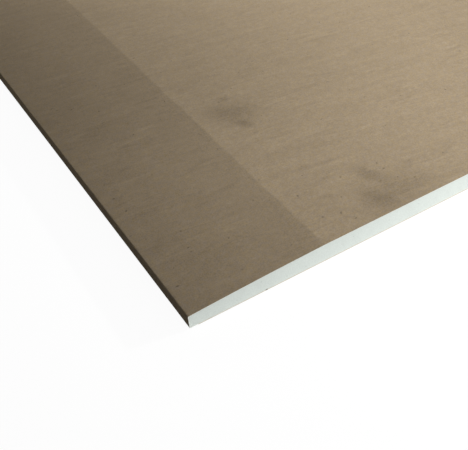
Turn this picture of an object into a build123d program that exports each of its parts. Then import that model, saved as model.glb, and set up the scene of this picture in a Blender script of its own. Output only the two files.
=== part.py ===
from build123d import *
import os

# Tapered-edge drywall sheet: a gypsum core, a face paper that wraps its long edges and a back paper.
# The sheet lies flat with its face up. X runs across the sheet, Y along it and Z up.
# The origin is on the floor, under the middle of the sheet. Lengths are in millimetres.

# The sheet as it is sold
sheet_width = 1200.0
sheet_length = 2400.0
sheet_thickness = 9.5  # in the flat field, over both papers

# The shallow slope along each long edge, where joint tape and filler go
taper_width = 65.0
taper_depth = 2.5
taper_crown = 0.3  # rise of the slope's arc over its straight chord

# The papers: the face paper folds round the long edges and onto the back
face_paper_thickness = 0.3
back_paper_thickness = 0.3
core_edge_radius = 0.05  # rounding of the core inside the folds
flap_width = 25.0  # reach of the folded face paper on the back, from the long edge
back_paper_setback = 4.0  # from the long edge to the back paper's own edge

# Places worked out from those sizes
half_width = sheet_width / 2
face_level = sheet_thickness
edge_level = face_level - taper_depth
wrap_level = back_paper_thickness  # underside of the folded flap and of the core between the flaps
taper_start = half_width - taper_width  # where the flat field meets the slope
taper_middle = half_width - taper_width / 2
flap_end = half_width - flap_width
fold_radius = core_edge_radius + face_paper_thickness
back_paper_width = sheet_width - 2 * back_paper_setback


def slope_arc(side):
    """The crowned slope of one long edge, from the edge up to the flat field."""
    edge = Vector(side * half_width, edge_level)
    field = Vector(side * taper_start, face_level)
    chord = field - edge
    outward = Vector(side * chord.Y, -side * chord.X).normalized()
    crown = edge + chord / 2 + outward * taper_crown
    return ThreePointArc(edge, crown, field)


def wrapped_section():
    """Section through the core and the face paper wrapped round it, with its folds rounded."""
    wrap = [
        (-half_width, edge_level),
        (-half_width, wrap_level),
        (half_width, wrap_level),
        (half_width, edge_level),
    ]
    with BuildSketch() as section:
        with BuildLine():
            Polyline(*wrap)
            slope_arc(1)
            Line((taper_start, face_level), (-taper_start, face_level))
            slope_arc(-1)
        make_face()
        folds = [corner for corner in section.vertices() if abs(corner.X) > taper_middle]
        fillet(folds, fold_radius)
    return section.sketch


def core_section(wrapped):
    """Section of the plaster: what the face paper wraps, and the field between its flaps."""
    tongue_depth = 2 * face_paper_thickness  # past the flaps, into the plaster
    with BuildSketch() as section:
        add(wrapped)
        offset(amount=-face_paper_thickness, mode=Mode.REPLACE)
        with Locations((0, wrap_level)):
            Rectangle(2 * flap_end, tongue_depth, align=(Align.CENTER, Align.MIN))
    return section.sketch


def back_paper_section():
    """Section of the back paper, which lies flat and laps over the folded flaps."""
    return Rectangle(back_paper_width, back_paper_thickness, align=(Align.CENTER, Align.MIN))


def run_to_cut_ends(section):
    """A section drawn across the sheet, run out to the sheet's two cut ends."""
    return extrude(Plane.XZ * section, amount=sheet_length / 2, both=True)


wrapped = wrapped_section()
core = core_section(wrapped)

pieces = {
    "gypsum_core": run_to_cut_ends(core),
    "face_paper": run_to_cut_ends(wrapped - core),
    "back_paper": run_to_cut_ends(back_paper_section()),
}

os.makedirs("parts", exist_ok=True)
for name, piece in pieces.items():
    export_step(piece, f"parts/{name}.step")
    print(name, "volume", round(piece.volume), "size", piece.bounding_box().size)
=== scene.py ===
# %% [markdown]
# A tapered-edge drywall sheet
#
# A drywall sheet is a slab of set gypsum between two papers. The grey-brown face paper runs over the
# front, folds round both long edges and ends on the back, where a paler back paper is glued over the
# folds. Each long edge slopes down a little, so that joint tape and filler end up level with the wall.
#
# The solids already exist as a fixed frame, in metres, with Z up and the sheet lying on the floor. This
# lesson dresses them: it models the face paper and the plaster again with the relief that a solid lacks,
# gives every piece a procedural finish, and lights the sheet from low on the right.

# %% Load the fixed frame
import math

import bmesh
import bpy
from mathutils import Matrix, Vector


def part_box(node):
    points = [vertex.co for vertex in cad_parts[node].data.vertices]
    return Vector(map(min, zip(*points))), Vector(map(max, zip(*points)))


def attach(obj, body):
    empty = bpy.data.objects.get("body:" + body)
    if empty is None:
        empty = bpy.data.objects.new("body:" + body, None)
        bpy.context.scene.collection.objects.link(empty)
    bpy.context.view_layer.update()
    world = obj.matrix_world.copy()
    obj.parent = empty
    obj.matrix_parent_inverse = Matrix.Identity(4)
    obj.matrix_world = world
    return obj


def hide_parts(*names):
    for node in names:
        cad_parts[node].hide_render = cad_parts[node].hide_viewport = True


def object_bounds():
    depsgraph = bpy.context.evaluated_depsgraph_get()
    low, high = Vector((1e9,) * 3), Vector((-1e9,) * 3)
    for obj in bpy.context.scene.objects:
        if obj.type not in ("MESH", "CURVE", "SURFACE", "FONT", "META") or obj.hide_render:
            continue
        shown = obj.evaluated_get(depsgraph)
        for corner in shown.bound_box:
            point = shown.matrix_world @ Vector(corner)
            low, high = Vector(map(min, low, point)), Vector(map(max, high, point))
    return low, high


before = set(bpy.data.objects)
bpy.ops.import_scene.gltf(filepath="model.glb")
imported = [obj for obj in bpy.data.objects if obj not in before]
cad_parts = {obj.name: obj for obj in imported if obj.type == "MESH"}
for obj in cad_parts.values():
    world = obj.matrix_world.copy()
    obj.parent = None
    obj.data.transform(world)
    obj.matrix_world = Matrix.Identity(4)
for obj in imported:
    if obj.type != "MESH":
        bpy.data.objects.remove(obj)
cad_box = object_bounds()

print("solids:", sorted(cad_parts), "box:", [tuple(round(c, 4) for c in corner) for corner in cad_box])

# %% [markdown]
# Sizes
#
# Every size comes from the frame where the frame can be measured: the sheet's outline, its thickness and
# the thickness of its papers. The slope and the folds are the maker's own sizes, written once in
# millimetres.

# %% Measure the frame
MM = 0.001

half_width, half_length, face_level = cad_box[1]
wrap_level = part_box("back_paper")[1].z
core_low, core_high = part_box("gypsum_core")
paper_thickness = half_width - core_high.x

taper_width = 65 * MM
taper_depth = 2.5 * MM
taper_crown = 0.3 * MM
flap_width = 25 * MM
fold_radius = 0.35 * MM

edge_level = face_level - taper_depth
taper_start = half_width - taper_width
near_corner = Vector((-half_width, -half_length, 0))

print("sheet", half_width * 2, "by", half_length * 2, "by", face_level)
print("paper", round(paper_thickness / MM, 3), "mm")
print("long edge", round((edge_level - wrap_level) / MM, 2), "mm")

# %% [markdown]
# Working by hand in edit mode
#
# Most of the modelling is the same three moves: open a mesh, slice it with a plane, and pick the vertices,
# edges or faces to work on by where they are. A person would click on them; a script asks for their place.

# %% Helpers for edit mode
ACROSS = Vector((1, 0, 0))
ALONG = Vector((0, 1, 0))
UP = Vector((0, 0, 1))
CLOSE = 0.02 * MM       # places nearer to each other than this count as the same


def open_mesh(piece):
    """Makes the piece the only selected object and opens it in edit mode."""
    bpy.ops.object.select_all(action="DESELECT")
    piece.select_set(True)
    bpy.context.view_layer.objects.active = piece
    bpy.ops.object.mode_set(mode="EDIT")


def close_mesh():
    bpy.ops.object.mode_set(mode="OBJECT")


def pick(kind, wanted):
    """Selects only the vertices, edges or faces whose middle passes the test, and counts them."""
    bpy.ops.mesh.select_mode(type=kind)
    bpy.ops.mesh.select_all(action="DESELECT")
    mesh = bmesh.from_edit_mesh(bpy.context.edit_object.data)
    parts = {"VERT": mesh.verts, "EDGE": mesh.edges, "FACE": mesh.faces}[kind]
    picked = 0
    for part in parts:
        corners = [part] if kind == "VERT" else part.verts
        middle = sum((corner.co for corner in corners), Vector()) / len(corners)
        if wanted(middle):
            part.select_set(True)
            picked += 1
    mesh.select_flush_mode()
    bmesh.update_edit_mesh(bpy.context.edit_object.data)
    return picked


def slice_square_to(axis, places):
    """Cuts the whole open mesh with planes square to an axis."""
    for place in places:
        bpy.ops.mesh.select_all(action="SELECT")
        bpy.ops.mesh.bisect(plane_co=axis * place, plane_no=axis)


def evenly(low, high, largest):
    """The places that divide a stretch into equal parts no longer than the largest, without its two ends."""
    count = math.ceil((high - low) / largest)
    return [low + (high - low) * part / count for part in range(1, count)]


def near(a, b):
    return abs(a - b) < CLOSE


def size_of(piece):
    """A piece's size in metres, rounded for printing."""
    return [round(size, 4) for size in piece.dimensions]


# %% [markdown]
# The face paper
#
# On the real sheet this is one wide strip of paper. It could be a scaled box, but then its folds and its
# cut edge would be wrong. Here it starts as a flat plane at face height, like paper off the roll. Slices
# mark where it bends, the margins are lowered along the slope's curve, and the long edges are extruded
# down and then inwards, as the forming plates of a board line fold them.

# %% Lay the paper flat and slice it
SLOPE_STRIP = 6.5 * MM  # width of the flat strips that follow the slope's curve
CREASE = 1.2 * MM       # half the width over which the slope's line turns
GRID = 40 * MM          # spacing of the slices that let the field undulate

bpy.ops.object.select_all(action="DESELECT")
bpy.ops.mesh.primitive_plane_add(size=1, location=(0, 0, face_level))
face_paper = bpy.context.object
face_paper.name = "face_paper_sheet"
face_paper.scale = (2 * half_width, 2 * half_length, 1)
bpy.ops.object.transform_apply(location=True, rotation=True, scale=True)

slope_insets = evenly(0, taper_width, SLOPE_STRIP) + [taper_width - CREASE]
field_places = [-taper_start, taper_start, CREASE - taper_start, taper_start - CREASE]
field_places += evenly(-taper_start, taper_start, GRID)

open_mesh(face_paper)
for side in (-1, 1):
    slice_square_to(ACROSS, [side * (half_width - inset) for inset in slope_insets])
slice_square_to(ACROSS, field_places)
slice_square_to(ALONG, evenly(-half_length, half_length, GRID))
print("paper sliced into", len(bmesh.from_edit_mesh(face_paper.data).faces), "faces")


# %% Lower the two margins along the slope
def slope_drop(inset):
    """How far the face lies below its flat field, at a distance in from the long edge."""
    share = min(inset / taper_width, 1)
    return taper_depth * (1 - share) - 4 * taper_crown * share * (1 - share)


for inset in [0] + slope_insets:
    row = pick("VERT", lambda place: near(half_width - abs(place.x), inset))
    bpy.ops.transform.translate(value=(0, 0, -slope_drop(inset)))
print("long edges dropped", round(slope_drop(0) / MM, 2), "mm, with", row, "vertices in the last row")

# %% Fold the margins down the long edges and under the back
FOLD_SEGMENTS = 4
FOLD_SPARE = 0.8 * MM   # slices this far from each fold keep the faces beyond them flat under smooth shading

pick("EDGE", lambda place: near(abs(place.x), half_width))
bpy.ops.mesh.extrude_edges_move(TRANSFORM_OT_translate={"value": (0, 0, wrap_level - edge_level)})
for side in (-1, 1):
    pick("EDGE", lambda place: near(place.x, side * half_width) and near(place.z, wrap_level))
    bpy.ops.mesh.extrude_edges_move(TRANSFORM_OT_translate={"value": (-side * flap_width, 0, 0)})

slice_square_to(ACROSS, [FOLD_SPARE - half_width, half_width - FOLD_SPARE])
slice_square_to(UP, [wrap_level + FOLD_SPARE, edge_level - FOLD_SPARE])


def on_fold(place):
    return near(abs(place.x), half_width) and (near(place.z, edge_level) or near(place.z, wrap_level))


folds = pick("EDGE", on_fold)
bpy.ops.mesh.bevel(offset=fold_radius, segments=FOLD_SEGMENTS, affect="EDGES")
bpy.ops.mesh.select_all(action="SELECT")
bpy.ops.mesh.normals_make_consistent(inside=False)
close_mesh()
print("rounded", folds, "fold edges, paper box", size_of(face_paper))

# %% [markdown]
# The paper's waviness and thickness
#
# A real sheet is never quite flat: the paper dried on wet plaster, so its field rises and falls by a tenth
# of a millimetre or two over a hand's width. Light from low down picks that up. Bump alone would leave the
# mesh flat, so a Displace modifier with a soft cloud texture does it. A Solidify modifier then gives the
# paper its real thickness, inwards.

# %% Let the field undulate
UNDULATION = 0.25 * MM
UNDULATION_SIZE = 90 * MM

clouds = bpy.data.textures.new("field_undulation", type="CLOUDS")
clouds.noise_scale = UNDULATION_SIZE
clouds.noise_depth = 1


def freedom(place):
    """How freely the paper sinks: fully in the field, and less and less down the slopes."""
    return min((half_width - abs(place.x)) / taper_width, 1)


field_group = face_paper.vertex_groups.new(name="field")
for corner in face_paper.data.vertices:
    if corner.co.z > edge_level:
        field_group.add([corner.index], freedom(corner.co), "REPLACE")
waver = face_paper.modifiers.new("undulation", "DISPLACE")
waver.texture = clouds
waver.texture_coords = "LOCAL"
waver.direction = "Z"
waver.strength = UNDULATION
waver.mid_level = 1     # hollows only, so that the paper never lifts off the plaster
waver.vertex_group = "field"
bpy.ops.object.modifier_apply(modifier=waver.name)
print("field undulates by up to", round(UNDULATION / MM, 2), "mm")

# %% Give the paper its thickness
PAPER_SMOOTH = 35       # degrees: edges that turn less than this are shaded smooth

thickness = face_paper.modifiers.new("thickness", "SOLIDIFY")
thickness.thickness = paper_thickness
thickness.offset = -1
thickness.use_even_offset = True
bpy.ops.object.modifier_apply(modifier=thickness.name)
bpy.ops.object.shade_smooth_by_angle(angle=math.radians(PAPER_SMOOTH))
print("face paper:", len(face_paper.data.polygons), "faces, box", size_of(face_paper))

# %% [markdown]
# The gypsum core
#
# The plaster shows only at the two cut ends. Sawn gypsum is finely granular, with small pores where air
# was beaten into the mix. A copy of the solid would have the outline but no faces to roughen, so the core
# starts as a fine upright grid, the size of one cut end. Its columns are fitted between the papers, the
# grid is extruded along the sheet to the other end, and both ends are then roughened by Displace
# modifiers.

# %% Stand a grid at the near cut end
CUT_GRID = 1.2 * MM
CUT_BACK = 0.03 * MM    # the papers' cut edges stand this far proud of the plaster

core_size = core_high - core_low
columns = math.ceil(core_size.x / CUT_GRID)
rows = math.ceil(core_size.z / CUT_GRID)
bpy.ops.object.select_all(action="DESELECT")
# The grid is one metre high at first, so that a height on it is a share of the way between the papers
bpy.ops.mesh.primitive_grid_add(
    x_subdivisions=columns,
    y_subdivisions=rows,
    size=1,
    location=(0, CUT_BACK - half_length, 0.5),
    rotation=(math.radians(90), 0, 0),
)
core = bpy.context.object
core.name = "gypsum_core_cut"
core.scale = (core_size.x, 1, 1)
bpy.ops.object.transform_apply(location=True, rotation=True, scale=True)
print("cut end has", columns, "columns and", rows, "rows")


# %% Fit its columns between the papers and run it to the far end
def plaster_between(across):
    """The plaster's lowest and highest level at a place across the sheet."""
    inset = half_width - abs(across)
    low = wrap_level + (paper_thickness if inset < flap_width else 0)
    return low, face_level - slope_drop(inset) - paper_thickness


for corner in core.data.vertices:
    low, high = plaster_between(corner.co.x)
    corner.co.z = low + (high - low) * corner.co.z

open_mesh(core)
bpy.ops.mesh.select_all(action="SELECT")
bpy.ops.mesh.extrude_region_move(TRANSFORM_OT_translate={"value": (0, 2 * (half_length - CUT_BACK), 0)})
bpy.ops.mesh.select_all(action="SELECT")
bpy.ops.mesh.normals_make_consistent(inside=False)
close_mesh()
print("core:", len(core.data.polygons), "faces, box", size_of(core))

# %% Roughen the two cut ends
ROUGHNESS = 0.1 * MM    # deepest hollow in the cut
ROUGHNESS_SIZE = 2.5 * MM
PLASTER_SMOOTH = 40     # degrees: edges that turn less than this are shaded smooth

grit = bpy.data.textures.new("cut_plaster", type="CLOUDS")
grit.noise_scale = ROUGHNESS_SIZE
grit.noise_depth = 2
for end, name in ((-1, "near_cut"), (1, "far_cut")):
    cut_group = core.vertex_groups.new(name=name)
    cut_group.add([v.index for v in core.data.vertices if v.co.y * end > 0], 1.0, "REPLACE")
    roughen = core.modifiers.new(name, "DISPLACE")
    roughen.texture = grit
    roughen.texture_coords = "LOCAL"
    roughen.direction = "Y"
    roughen.strength = -end * ROUGHNESS
    roughen.mid_level = 0
    roughen.vertex_group = name
    bpy.ops.object.modifier_apply(modifier=roughen.name)
bpy.ops.object.shade_smooth_by_angle(angle=math.radians(PLASTER_SMOOTH))
print("cut ends roughened, box", size_of(core))

# %% [markdown]
# Finishes
#
# The finishes are node materials that read Object coordinates, so that a pattern's scale is a real size on
# the sheet. Pictures could be wrapped on instead, but on a sheet this large they would blur close up.
# Helpers do the plumbing: one turns a written colour into the linear values that a shader works in, one
# adds a node with its settings and its links, and two open and close a finish.

# %% Helpers for materials
def linear(written):
    """A written sRGB colour such as #9D8E77 as linear red, green, blue and full alpha."""
    channels = [int(written[start:start + 2], 16) / 255 for start in (1, 3, 5)]
    return [c / 12.92 if c <= 0.04045 else ((c + 0.055) / 1.055) ** 2.4 for c in channels] + [1]


def add(tree, kind, inputs=(), **settings):
    """Adds a node. Settings are its properties; inputs are values to set or sockets to link."""
    made = tree.nodes.new(kind)
    for name, value in settings.items():
        setattr(made, name, value)
    for name, value in dict(inputs).items():
        if isinstance(value, bpy.types.NodeSocket):
            tree.links.new(value, made.inputs[name])
        else:
            made.inputs[name].default_value = value
    return made


def new_finish(name):
    """A new material with its tree, its shader and its Object coordinates."""
    material = bpy.data.materials.new(name)
    material.use_nodes = True
    tree = material.node_tree
    shader = tree.nodes["Principled BSDF"]
    place = add(tree, "ShaderNodeTexCoord").outputs["Object"]
    return material, tree, shader, place


def surface(tree, shader, colour, height, relief, roughness, gloss):
    """Gives the shader its colour and its relief, and sets how matt it is."""
    tree.links.new(colour, shader.inputs["Base Color"])
    bump = add(tree, "ShaderNodeBump", {"Height": height, "Distance": relief, "Strength": 1.0})
    tree.links.new(bump.outputs[0], shader.inputs["Normal"])
    shader.inputs["Roughness"].default_value = roughness
    shader.inputs["Specular IOR Level"].default_value = gloss


# %% [markdown]
# Patterns
#
# A few patterns make up all three finishes: clouds, specks, painted crease light and shade, and single
# marks.
# Each one gets its real size in millimetres through a Mapping node of type Texture, which divides the place
# by that size. A pattern on the flat face gets a very large size in Z, so that it doesn't change with depth.
# Most patterns are factors near 1, because factors can be multiplied together in any number.

# %% Sizes, ranges and clouds
DEEP = 1000             # a size in Z that a pattern never gets to the end of, in millimetres
NOISE_LOW = 0.3         # nearly all of a noise lies between these two
NOISE_HIGH = 0.7


def sized(place, size, turn=0.0, centre=(0, 0, 0)):
    """Inputs for a Mapping node of type Texture, in which a size in millimetres is one unit."""
    return {
        "Vector": place,
        "Location": centre,
        "Rotation": (0, 0, math.radians(turn)),
        "Scale": Vector(size) * MM,
    }


def ranged(value, from_low, from_high, low, high):
    """Inputs for a Map Range node that goes from low to high while a value crosses a range."""
    return {"Value": value, "From Min": from_low, "From Max": from_high, "To Min": low, "To Max": high}


def blotches(tree, place, size, detail=2.0, turn=0.0):
    """Noise with blotches of a real size: a grey value in output 0 and a colour in output 1."""
    mapping = add(tree, "ShaderNodeMapping", sized(place, size, turn), vector_type="TEXTURE")
    return add(tree, "ShaderNodeTexNoise", {"Vector": mapping.outputs[0], "Scale": 1.0, "Detail": detail})


def cloud(tree, place, size, low, high, detail=2.0, turn=0.0):
    """Cloudy blotches as a factor from low to high."""
    noise = blotches(tree, place, size, detail, turn)
    inputs = ranged(noise.outputs[0], NOISE_LOW, NOISE_HIGH, low, high)
    return add(tree, "ShaderNodeMapRange", inputs).outputs[0]


def wandering(tree, place, size, reach):
    """The place, shifted to and fro by up to about half a reach, so that outlines wander."""
    noise = blotches(tree, place, [size] * 3)
    centred = add(tree, "ShaderNodeVectorMath", {0: noise.outputs[1], 1: [0.5] * 3}, operation="SUBTRACT")
    inputs = {0: centred.outputs[0], 1: [reach * MM] * 3, 2: place}
    return add(tree, "ShaderNodeVectorMath", inputs, operation="MULTIPLY_ADD").outputs[0]


# %% Specks
SPECK_HEART = 0.3       # share of a speck's radius that is fully dark


def specks(tree, place, spacing, radius, share, darkness, turn=0.0, length=1.0, dimensions="2D"):
    """Dark specks in a share of cells, as a factor that is 1 between them."""
    size = (spacing * length, spacing, spacing)
    mapping = add(tree, "ShaderNodeMapping", sized(place, size, turn), vector_type="TEXTURE")
    inputs = {"Vector": mapping.outputs[0], "Scale": 1.0}
    cells = add(tree, "ShaderNodeTexVoronoi", inputs, voronoi_dimensions=dimensions)
    lot = add(tree, "ShaderNodeSeparateColor", {"Color": cells.outputs["Color"]})
    chosen = add(tree, "ShaderNodeMath", {0: lot.outputs[0], 1: share}, operation="LESS_THAN")
    edge = radius / spacing
    inputs = ranged(cells.outputs["Distance"], SPECK_HEART * edge, edge, -darkness, 0.0)
    spot = add(tree, "ShaderNodeMapRange", inputs, interpolation_type="SMOOTHSTEP")
    inputs = {0: spot.outputs[0], 1: chosen.outputs[0], 2: 1.0}
    return add(tree, "ShaderNodeMath", inputs, operation="MULTIPLY_ADD").outputs[0]


# %% Creases, as painted light and shade
CREASE_SHADE_PATCH = (25, 12, DEEP)  # size of the patches that the painted crease shading comes in, in millimetres
PATCH_LOW = -0.4        # a patch's strength swings between these two, and below 0 there is no painted crease shading
PATCH_HIGH = 1.4


def painted_crease_shade(tree, place, size, turn, width, change):
    """Thin wavy lines in patches, as a factor: painted light and shade of creases, each darker on one side
    and lighter on the other.
    """
    noise = blotches(tree, place, size, 1.0, turn)
    inputs = ranged(noise.outputs[0], 0.5 - width, 0.5 + width, -math.pi, math.pi)
    across_line = add(tree, "ShaderNodeMapRange", inputs)
    sides = add(tree, "ShaderNodeMath", {0: across_line.outputs[0]}, operation="SINE")
    patch = cloud(tree, place, CREASE_SHADE_PATCH, PATCH_LOW * change, PATCH_HIGH * change, detail=1.0)
    kept = add(tree, "ShaderNodeMath", {0: patch, 1: 0.0}, operation="MAXIMUM")
    inputs = {0: sides.outputs[0], 1: kept.outputs[0], 2: 1.0}
    return add(tree, "ShaderNodeMath", inputs, operation="MULTIPLY_ADD").outputs[0]


# %% Single marks, tones and cut rims
CUT_RIM = 0.05 * MM     # how far in from a cut end the paper counts as its rim


def mark(tree, place, centre, reach, turn, change):
    """One soft mark, in millimetres from the near left corner, as a factor that is 1 away from it."""
    inputs = sized(place, reach, turn, near_corner + Vector(centre) * MM)
    inside = add(tree, "ShaderNodeMapping", inputs, vector_type="TEXTURE")
    out = add(tree, "ShaderNodeVectorMath", {0: inside.outputs[0]}, operation="LENGTH")
    inputs = ranged(out.outputs["Value"], 0.0, 1.0, 1 + change, 1.0)
    return add(tree, "ShaderNodeMapRange", inputs, interpolation_type="SMOOTHSTEP").outputs[0]


def multiplied(tree, factors):
    """All the factors multiplied together."""
    total = factors[0]
    for factor in factors[1:]:
        total = add(tree, "ShaderNodeMath", {0: total, 1: factor}, operation="MULTIPLY").outputs[0]
    return total


def toned(tree, colour, factors):
    """A colour, made lighter or darker by all the factors."""
    inputs = {0: colour, "Scale": multiplied(tree, factors)}
    return add(tree, "ShaderNodeVectorMath", inputs, operation="SCALE").outputs[0]


def fresh_at_cut_ends(tree, place, colour, rim):
    """A paper's own colour, with a paler one on the rims of its two cut ends."""
    apart = add(tree, "ShaderNodeSeparateXYZ", {0: place})
    along = add(tree, "ShaderNodeMath", {0: apart.outputs[1]}, operation="ABSOLUTE")
    inputs = {0: along.outputs[0], 1: half_length - CUT_RIM}
    fresh = add(tree, "ShaderNodeMath", inputs, operation="GREATER_THAN")
    inputs = {0: fresh.outputs[0], 6: colour, 7: linear(rim)}
    return add(tree, "ShaderNodeMix", inputs, data_type="RGBA").outputs[2]


# %% [markdown]
# Marks of handling
#
# The sheet has been handled: near its corner there are a few soft rubbed marks, some plain dark flecks, and
# the painted light and shade of some short creases. Noise could scatter marks like these, but not put them
# where they are, so these few are listed one by one.

# %% Marks near the corner
# Each mark is given by its place across and along, its half length and half width, all in millimetres,
# by its turn in degrees, and by how much it changes the paper's brightness.
RUBBED_MARKS = (
    (80, 107, 18, 11, -58, -0.18),
    (90.5, 103, 13, 9, -55, -0.08),
    (90, 104, 24, 16, 0, -0.07),
    (84, 93, 9, 5, -60, -0.26),
    (87, 119, 6, 5, 0, -0.15),
    (108.5, 26, 15, 6.5, -65, -0.205),
    (101, 11, 14, 9, -60, -0.22),
    (112, 10, 9, 6, -60, -0.05),
    (113, 8, 30, 22, 0, -0.14),
)
# Painted light and shade of short creases: each is a thin line made lighter or darker in colour.
CREASE_LIGHT_AND_SHADE_MARKS = (
    (91, 35.5, 7, 1.7, -14, -0.15),
    (83, 25, 6, 2.0, -10, -0.14),
    (93, 74.5, 12, 1.8, -12, -0.10),
    (90, 68.7, 13, 1.8, -8, 0.10),
    (94, 45, 16, 1.8, -8, -0.08),
    (104, 41.5, 18, 1.8, -6, 0.07),
    (41, 120, 9, 2.6, -4, 0.12),
    (31, 115.5, 9, 2.2, -4, 0.09),
    (14, 108, 16, 1.6, -4, 0.06),
    (18, 88.5, 18, 1.6, -6, 0.07),
    (34, 36, 24, 1.6, -3, 0.05),
    (9, 41.5, 9, 1.8, -4, -0.07),
)
DARK_FLECKS = (
    (4.4, 16.5, 1.3, 0.8, 0, -0.45),
    (1.7, 54.6, 1.2, 0.8, 0, -0.22),
    (18.4, 30.1, 1.0, 0.8, 0, -0.3),
    (20.7, 43.7, 0.9, 0.8, 60, -0.35),
    (29.9, 8.5, 0.8, 0.7, 0, -0.22),
    (35.1, 27.5, 0.8, 0.7, 60, -0.35),
    (53.9, 8.2, 0.8, 0.7, 0, -0.3),
    (56.2, 41.3, 1.1, 0.7, 30, -0.3),
    (65.9, 51.8, 0.8, 0.7, 60, -0.3),
    (74.4, 14.4, 1.0, 0.9, 0, -0.4),
    (87.2, 48.5, 0.9, 0.7, 60, -0.3),
    (88.7, 20.3, 0.8, 0.8, 0, -0.35),
    (96.8, 31.6, 1.0, 0.8, 80, -0.45),
    (109.4, 19, 0.8, 0.7, 0, -0.32),
    (116.3, 30, 1.3, 0.8, 55, -0.3),
    (123.4, 12.2, 0.9, 0.7, 30, -0.35),
    (129.4, 23.1, 0.9, 0.7, 40, -0.28),
)
print(len(RUBBED_MARKS), "rubbed marks,", len(CREASE_LIGHT_AND_SHADE_MARKS), "creases and", len(DARK_FLECKS), "flecks")

# %% [markdown]
# Pressed and shaded margins
#
# The forming plates pressed the sloped margins, so they are darker than the field, and part of that step is
# painted shade of a slope turned from the low lamp. The darkening towards the long edge is painted shade.
# Beside the slope's line the field has a painted highlight and the margin a painted shade. Two materials
# with a border between faces would give a hard straight line. Here the tone is worked out from the place
# across the sheet, and that place wanders a little, so the line is soft and slightly uneven.

# %% Pressed and shaded margins
PRESSED_AND_SHADED = 0.854         # brightness of a margin against the field, just across the line: pressed paper and painted shade
EDGE_PAINTED_SHADE = 0.885    # painted shade: brightness at the long edge against the margin's inner side
LINE_HALF_WIDTH = 0.8 * MM
LINE_PAINTED_LIGHT = 1.04       # painted highlight on the field's side of the line
LINE_PAINTED_SHADE = 0.93      # painted shade on the margin's side of the line
FIELD_REACH = 9 * MM    # how far that goes into the field
MARGIN_REACH = 25 * MM  # and into the margin


def pressed_and_shaded_margins(tree, place):
    """The darker tone of the slopes, partly pressed paper and partly painted shade, from a line that wavers
    by about a millimetre out to the long edge.
    """
    apart = add(tree, "ShaderNodeSeparateXYZ", {0: wandering(tree, place, size=14, reach=2.4)})
    out = add(tree, "ShaderNodeMath", {0: apart.outputs[0]}, operation="ABSOLUTE").outputs[0]
    inputs = ranged(out, taper_start - LINE_HALF_WIDTH, taper_start + LINE_HALF_WIDTH, 1.0, PRESSED_AND_SHADED)
    line = add(tree, "ShaderNodeMapRange", inputs, interpolation_type="SMOOTHSTEP")
    factors = [line.outputs[0]]
    for inner, outer, high in (
        (taper_start, half_width, EDGE_PAINTED_SHADE),
        (taper_start - FIELD_REACH, taper_start, LINE_PAINTED_LIGHT),
        (taper_start, taper_start + MARGIN_REACH, 1 / LINE_PAINTED_SHADE),
    ):
        change = add(tree, "ShaderNodeMapRange", ranged(out, inner, outer, 1.0, high))
        factors.append(change.outputs[0])
    return multiplied(tree, factors)


# %% [markdown]
# Recycled kraft liner
#
# The face paper is a multi-ply liner made from recycled fibre. It is matt and grey-brown, mottled where
# warm and grey fibres lie side by side, and cloudy where the pulp settled unevenly. It has a fine grain,
# faint cockles across the sheet, and dark specks of old print and bark. A flat brown would look like
# plastic, so its colour is a mix of two browns times one factor for each of these; the cockles' factor is
# painted shade of their relief. Where the saw cut it, its rim is white with plaster.

# %% Colours and clouds of the kraft liner
KRAFT_WARM = "#A59273"
KRAFT_GREY = "#A1927F"
DUSTED = "#E6E9E1"      # its cut rim, white with plaster from the saw
ACROSS_TURN = -8        # degrees by which cockles and creases run off from straight across
GRAIN_HEIGHT = 0.012    # millimetres of relief for a whole step of brightness
COCKLE_HEIGHT = 0.21
PAPER_ROUGHNESS = 1.0   # plain paper has hardly any shine
PAPER_GLOSS = 0.03

# Each cloud is given by its size in millimetres and by its lowest and highest factor
KRAFT_GRAIN = ((0.6, 0.6, 0.6), 0.875, 1.125)  # about twice as coarse as real fibre, so that it shows
FIBRES = ((1.3, 1.3, 1.3), 0.0, 1.0)  # from the warm brown to the grey one
PULP_CLUMPS = ((3, 3, 3), 0.955, 1.045)
PULP_CLOUDS = ((14, 14, DEEP), 0.97, 1.03)
# cockles: bump, and painted shade in the colour
KRAFT_COCKLE_BUMP_AND_SHADE = ((35, 5, DEEP), 0.97, 1.03)
KRAFT_DRIFT = ((250, 400, DEEP), 0.985, 1.015)
CREASE_SHADE_SIZE = (38, 5, DEEP)

for brown in (KRAFT_WARM, KRAFT_GREY):
    print("kraft brown", brown, "is", [round(c, 3) for c in linear(brown)[:3]], "in linear light")


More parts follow.
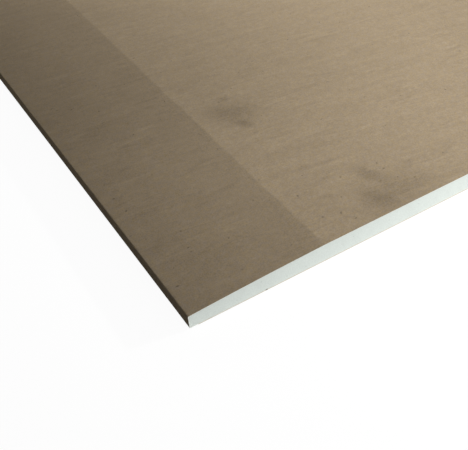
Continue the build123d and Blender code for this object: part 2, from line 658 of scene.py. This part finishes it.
# %% The kraft liner itself
def kraft_liner_finish():
    material, tree, shader, place = new_finish("recycled_kraft_liner")
    grain = cloud(tree, place, *KRAFT_GRAIN)
    # The cockles are bump, and their factor in the colour is painted shade.
    cockle = cloud(tree, place, *KRAFT_COCKLE_BUMP_AND_SHADE, turn=ACROSS_TURN)
    wander = wandering(tree, place, size=6, reach=5)
    slight = wandering(tree, place, size=9, reach=2)
    factors = [
        pressed_and_shaded_margins(tree, place),
        grain,
        cockle,
        cloud(tree, place, *PULP_CLUMPS),
        cloud(tree, place, *PULP_CLOUDS, detail=4.0),
        cloud(tree, place, *KRAFT_DRIFT),
        # painted light and shade along creases, in the colour only
        painted_crease_shade(tree, place, CREASE_SHADE_SIZE, ACROSS_TURN, width=0.09, change=0.05),
        specks(tree, wander, spacing=11, radius=0.5, share=0.15, darkness=0.4),
        specks(tree, wander, spacing=13, radius=0.45, share=0.15, darkness=0.35, turn=25, length=2.2),
    ]
    for outline, marks in ((wander, RUBBED_MARKS), (slight, CREASE_LIGHT_AND_SHADE_MARKS), (place, DARK_FLECKS)):
        for across, along, half_long, half_wide, turn, change in marks:
            reach = (half_long, half_wide, DEEP)
            factors.append(mark(tree, outline, (across, along, 0), reach, turn, change))
    inputs = {0: cloud(tree, place, *FIBRES), 6: linear(KRAFT_WARM), 7: linear(KRAFT_GREY)}
    mottled = add(tree, "ShaderNodeMix", inputs, data_type="RGBA")
    brown = toned(tree, mottled.outputs[2], factors)
    colour = fresh_at_cut_ends(tree, place, brown, DUSTED)
    fine = add(tree, "ShaderNodeMath", {0: grain, 1: GRAIN_HEIGHT}, operation="MULTIPLY")
    inputs = {0: cockle, 1: COCKLE_HEIGHT, 2: fine.outputs[0]}
    height = add(tree, "ShaderNodeMath", inputs, operation="MULTIPLY_ADD")
    surface(tree, shader, colour, height.outputs[0], MM, PAPER_ROUGHNESS, PAPER_GLOSS)
    return material


kraft_liner = kraft_liner_finish()
print("kraft liner has", len(kraft_liner.node_tree.nodes), "nodes")

# %% [markdown]
# Set gypsum
#
# Set plaster is white with a cool, faintly green cast. Where it is cut it is finely granular, with pores
# up to half a millimetre across. The pores could be holes in the mesh, but they are finer than its grid,
# so they are bump and a darker colour, which is painted shade inside them, drawn about twice as wide as
# most real ones, so that they show. There is one small dark spot on the lower rim of the near cut end,
# which the back paper shares.

# %% Set gypsum, cut
GYPSUM = "#E1E8E2"
PLASTER_GRAIN = ((0.7, 0.7, 0.7), 0.96, 1.03)
PLASTER_CLOUDS = ((9, 9, 9), 0.985, 1.01)
PLASTER_RELIEF = 0.2 * MM
PLASTER_ROUGHNESS = 0.95
PLASTER_GLOSS = 0.2
# The near cut end's lower rim has one small darker spot, shared by the plaster and the back paper.
DARK_SPOT_PLACE = (36, 0, 0.35)  # in millimetres from the near left corner
DARK_SPOT_REACH = (0.9, 3, 0.5)
DARK_SPOT_CHANGE = -0.7


def rim_dark_spot(tree, place):
    """The small dark spot on the lower rim of the near cut end, as a factor."""
    return mark(tree, place, DARK_SPOT_PLACE, DARK_SPOT_REACH, 0, DARK_SPOT_CHANGE)


def cut_gypsum_finish():
    material, tree, shader, place = new_finish("set_gypsum_cut")
    grain = cloud(tree, place, *PLASTER_GRAIN)
    # The pores' darker colour is painted shade inside them; their bump is relief.
    pores_bump_and_shade = specks(tree, place, spacing=2.4, radius=0.45, share=0.3, darkness=0.14, dimensions="3D")
    factors = [grain, pores_bump_and_shade, rim_dark_spot(tree, place), cloud(tree, place, *PLASTER_CLOUDS)]
    white = toned(tree, linear(GYPSUM)[:3], factors)
    height = multiplied(tree, [grain, pores_bump_and_shade])
    surface(tree, shader, white, height, PLASTER_RELIEF, PLASTER_ROUGHNESS, PLASTER_GLOSS)
    return material


cut_gypsum = cut_gypsum_finish()
print("cut gypsum has", len(cut_gypsum.node_tree.nodes), "nodes")

# %% [markdown]
# Back liner
#
# The back paper is a paler liner, a greyish buff with the same kind of specks. It could share the kraft
# finish in another colour, but it lies flat on the back, with no pressed margins and no marks of handling,
# so it has a plainer finish of its own.

# %% Back liner
BUFF = "#C3B79F"
CREAM = "#D6CCB6"       # its cut rim, clean fibre
BUFF_GRAIN = ((0.7, 0.7, 0.7), 0.93, 1.07)
# cockles as painted shade only, with no bump
BUFF_COCKLE_SHADE = ((40, 4, DEEP), 0.985, 1.015)
BUFF_DRIFT = ((250, 400, DEEP), 0.98, 1.02)
BUFF_RELIEF = 0.03 * MM


def back_liner_finish():
    material, tree, shader, place = new_finish("buff_back_liner")
    grain = cloud(tree, place, *BUFF_GRAIN)
    wander = wandering(tree, place, size=6, reach=5)
    factors = [
        grain,
        cloud(tree, place, *PULP_CLOUDS, detail=4.0),
        cloud(tree, place, *BUFF_DRIFT),
        cloud(tree, place, *BUFF_COCKLE_SHADE, turn=ACROSS_TURN),
        specks(tree, wander, spacing=12, radius=0.6, share=0.2, darkness=0.45),
    ]
    buff = toned(tree, linear(BUFF)[:3], factors)
    rimmed = fresh_at_cut_ends(tree, place, buff, CREAM)
    spotted = toned(tree, rimmed, [rim_dark_spot(tree, place)])
    surface(tree, shader, spotted, grain, BUFF_RELIEF, PAPER_ROUGHNESS, PAPER_GLOSS)
    return material


back_liner = back_liner_finish()
print("back liner has", len(back_liner.node_tree.nodes), "nodes")

# %% [markdown]
# Dressing the pieces
#
# The face paper and the core are new meshes, so each takes the place of a solid, which is hidden, and
# rides on the sheet's one body. The back paper could be modelled again too, but its solid already has the
# right shape, so that solid itself wears its finish.

# %% Dress the pieces
def dress(piece, material):
    piece.data.materials.clear()
    piece.data.materials.append(material)
    print(piece.name, "wears", material.name)


dress(face_paper, kraft_liner)
dress(core, cut_gypsum)
dress(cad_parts["back_paper"], back_liner)

for piece, node, slot in ((face_paper, "face_paper", "face_paper"), (core, "gypsum_core", "gypsum")):
    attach(piece, "root")
    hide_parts(node)

# %% [markdown]
# Floor and background
#
# The sheet lies on a plain pale floor. A white floor could be lit until it looks white, but then it would
# throw that light back and fill the shade. Here the floor and the world look white to the camera and light
# the sheet only a little, so the long edge in shade stays dark. The floor still takes a faint shadow.

# %% Floor
FLOOR_SIZE = 60         # metres, so that no view shows its end
FLOOR_DROP = 0.2 * MM   # the floor lies this far below the back paper, so that the two don't flicker
FLOOR_GLOW = 0.95       # what the camera sees of the floor before any lamp lights it
FLOOR_SHADE = 0.07      # share of lamp light that the camera sees on it
FLOOR_BOUNCE = 0.2      # share of lamp light that it sends back to the sheet

bpy.ops.object.select_all(action="DESELECT")
bpy.ops.mesh.primitive_plane_add(size=FLOOR_SIZE, location=(0, 0, -FLOOR_DROP))
floor = bpy.context.object
floor.name = "floor"


def seen_directly(tree):
    """1 for rays from the camera, also after a reflection or through glass, and 0 for light that bounces."""
    path = add(tree, "ShaderNodeLightPath")
    seen = path.outputs["Is Camera Ray"]
    for other in ("Is Glossy Ray", "Is Transmission Ray"):
        inputs = {0: seen, 1: path.outputs[other]}
        seen = add(tree, "ShaderNodeMath", inputs, operation="MAXIMUM").outputs[0]
    return seen


def grey(level):
    return (level, level, level, 1)


def floor_finish():
    material, tree, shader, _ = new_finish("pale_floor")
    tree.nodes.remove(shader)
    glow = add(tree, "ShaderNodeEmission", {"Color": grey(1), "Strength": FLOOR_GLOW})
    shade = add(tree, "ShaderNodeBsdfDiffuse", {"Color": grey(FLOOR_SHADE)})
    bounce = add(tree, "ShaderNodeBsdfDiffuse", {"Color": grey(FLOOR_BOUNCE)})
    white = add(tree, "ShaderNodeAddShader", {0: glow.outputs[0], 1: shade.outputs[0]})
    inputs = {0: seen_directly(tree), 1: bounce.outputs[0], 2: white.outputs[0]}
    mixed = add(tree, "ShaderNodeMixShader", inputs)
    tree.links.new(mixed.outputs[0], tree.nodes["Material Output"].inputs["Surface"])
    material.cycles.emission_sampling = "NONE"
    return material


dress(floor, floor_finish())

# %% World
AMBIENT = 0.13          # level of the light that comes from all round

world = bpy.data.worlds.new("white_room")
bpy.context.scene.world = world
world.use_nodes = True
sky = world.node_tree
ambient = sky.nodes["Background"]
ambient.inputs["Color"].default_value = grey(AMBIENT)
backdrop = add(sky, "ShaderNodeBackground", {"Color": grey(1)})
inputs = {0: seen_directly(sky), 1: ambient.outputs[0], 2: backdrop.outputs[0]}
whole = add(sky, "ShaderNodeMixShader", inputs)
sky.links.new(whole.outputs[0], sky.nodes["World Output"].inputs["Surface"])
print("floor looks", FLOOR_GLOW, "bright before lamps, room light is", AMBIENT)

# %% [markdown]
# Lamps
#
# The key lamp is low and off to the right, so it rakes across the face: the left slope turns away from it
# and goes darker, and the paper's relief shows. A lamp close by would fade across so wide a sheet, so all
# lamps are as far off as the sun. Two weaker and softer ones fill the two cut ends.

# %% Lamps
KEY_HEIGHT = 16.5       # degrees above the floor
KEY_TURN = 10           # degrees from straight across towards the near end
KEY_LEVEL = 0.775       # brightness that it gives a white face lying flat
KEY_SOFTNESS = 3.6      # degrees across
FRONT_FILL = (84, 15, 0.52)  # turn and height in degrees, and the level square on
BACK_FILL = (-72, 8, 0.4)
FILL_SOFTNESS = 40
LAMP_DISTANCE = 3       # where a lamp's own mark stands, in metres, which doesn't change its light


def way_to(turn, height):
    """The way to a far lamp. Turn is in degrees from +X towards -Y, and height is in degrees from level."""
    around, up = math.radians(turn), math.radians(height)
    return Vector((math.cos(up) * math.cos(around), -math.cos(up) * math.sin(around), math.sin(up)))


def lamp(name, turn, height, level_square_on, softness):
    """A far lamp, with the level that a surface facing it gets."""
    towards = way_to(turn, height)
    aim = towards.to_track_quat("Z", "Y").to_euler()
    bpy.ops.object.light_add(type="SUN", location=towards * LAMP_DISTANCE, rotation=aim)
    made = bpy.context.object
    made.name = name
    made.data.energy = level_square_on * math.pi
    made.data.angle = math.radians(softness)
    print(name, "from", [round(c, 2) for c in towards], "strength", round(made.data.energy, 2))


lamp("key", KEY_TURN, KEY_HEIGHT, KEY_LEVEL / math.sin(math.radians(KEY_HEIGHT)), KEY_SOFTNESS)
lamp("front_fill", *FRONT_FILL, FILL_SOFTNESS)
lamp("back_fill", *BACK_FILL, FILL_SOFTNESS)

# %% [markdown]
# Black card
#
# Near the corner the light fades softly towards the left long edge. A darker paper there would be wrong
# under any other light. On a set, a black card between lamp and sheet does it. The card hangs unseen past
# the right long edge, and the soft shadow of its foot falls on the left margin. The foot is cut to a line,
# so that further along the shadow leaves the sheet again.

# %% Hang a black card
# Each point of the foot's line is given by where its shadow falls on the face, in millimetres:
# in from the left long edge, where the shadow is half deep, and along from the near end.
CARD_FOOT = ((53, -300), (53, 75), (90, 130), (90, 280), (-160, 800))
CARD_OUT = 80 * MM      # how far the card hangs from the right long edge
CARD_HEIGHT = 1.5       # metres

key_way = way_to(KEY_TURN, KEY_HEIGHT)


def foot_over(shade, along):
    """The place on the card that shades a place on the face."""
    shaded = near_corner + Vector((shade * MM, along * MM, face_level))
    return shaded + key_way * (half_width + CARD_OUT - shaded.x) / key_way.x


def upright_screen(name, middle, height, length):
    """A flat screen that stands along the sheet, with its place in its mesh."""
    bpy.ops.object.select_all(action="DESELECT")
    bpy.ops.mesh.primitive_plane_add(size=1, location=middle, rotation=(0, math.radians(90), 0))
    screen = bpy.context.object
    screen.name = name
    screen.scale = (height, length, 1)
    bpy.ops.object.transform_apply(location=True, rotation=True, scale=True)
    return screen


foot = [foot_over(*point) for point in CARD_FOOT]
lowest = min(place.z for place in foot)
card_length = foot[-1].y - foot[0].y
card_middle = (half_width + CARD_OUT, foot[0].y + card_length / 2, lowest + CARD_HEIGHT / 2)
card = upright_screen("black_card", card_middle, CARD_HEIGHT, card_length)
print("card", round(card_length, 3), "m long hangs", round(lowest, 3), "m above the floor")


# %% Cut its foot and hide it
def only_shades(screen):
    """Makes a screen part of the stage, seen by nothing but the light that it holds back."""
    for sight in ("camera", "diffuse", "glossy", "transmission", "volume_scatter"):
        setattr(screen, "visible_" + sight, False)


open_mesh(card)
slice_square_to(ALONG, [place.y for place in foot[1:-1]])
for cut in foot:
    found = pick("VERT", lambda place: near(place.y, cut.y) and near(place.z, lowest))
    bpy.ops.transform.translate(value=(0, 0, cut.z - lowest))
    print("foot of the card:", found, "corner raised to", round(cut.z, 3), "m")
close_mesh()
only_shades(card)

# %% [markdown]
# Black net
#
# The right long edge faces the low lamp and would be bleached by it. A weaker lamp would dim the face as
# well. On a set, a strip of black net thins such light. This one stands close beside the edge. It is as
# long as the edge and just high enough to cover it, and it is shifted along with the slant of the light,
# so the face and the cut ends stay lit.

# %% Black net
NET_OUT = 15 * MM       # how far the net stands from the right long edge
NET_OPEN = 0.2          # share of the light that its holes let through

net_top = Vector((half_width, 0, edge_level)) + key_way * NET_OUT / key_way.x
net_middle = (net_top.x, net_top.y, net_top.z / 2)
net = upright_screen("black_net", net_middle, net_top.z, 2 * half_length)


def net_finish():
    material, tree, shader, _ = new_finish("black_net")
    tree.nodes.remove(shader)
    threads = add(tree, "ShaderNodeBsdfDiffuse", {"Color": grey(0)})
    holes = add(tree, "ShaderNodeBsdfTransparent")
    woven = add(tree, "ShaderNodeMixShader", {0: NET_OPEN, 1: threads.outputs[0], 2: holes.outputs[0]})
    tree.links.new(woven.outputs[0], tree.nodes["Material Output"].inputs["Surface"])
    return material


dress(net, net_finish())
only_shades(net)
print("net", round(net_top.z / MM, 1), "mm high lets", NET_OPEN, "of the light through")

# %% [markdown]
# Camera
#
# The picture is taken from close by, over the near left corner, with a short tele lens and a slight tilt.
# The camera could track a target, but it is turned by three plain angles here, so that each can be set by
# itself.

# %% Camera
PICTURE_WIDTH = 468
FOCAL_LENGTH = 786.6    # in pixels of that width
SENSOR_WIDTH = 36       # millimetres
NEAREST = 0.01          # metres from the lens at which things start to show
CAMERA_FROM_CORNER = (-75.8, -188.3, 235.0)  # millimetres
CAMERA_TURN = 27.85     # degrees from straight along the sheet towards +X
CAMERA_DOWN = 42.13     # degrees below level
CAMERA_TILT = -5.26     # degrees about its own line of sight

bpy.ops.object.camera_add(location=near_corner + Vector(CAMERA_FROM_CORNER) * MM)
camera = bpy.context.object
camera.rotation_euler = (
    Matrix.Rotation(math.radians(-CAMERA_TURN), 3, "Z")
    @ Matrix.Rotation(math.radians(90 - CAMERA_DOWN), 3, "X")
    @ Matrix.Rotation(math.radians(CAMERA_TILT), 3, "Z")
).to_euler()
camera.data.sensor_width = SENSOR_WIDTH
camera.data.lens = SENSOR_WIDTH * FOCAL_LENGTH / PICTURE_WIDTH
camera.data.clip_start = NEAREST
camera.data.dof.use_dof = False
bpy.context.scene.camera = camera
bpy.context.scene.view_settings.view_transform = "Standard"
print("camera at", [round(c, 4) for c in camera.location], "lens", round(camera.data.lens, 2), "mm")
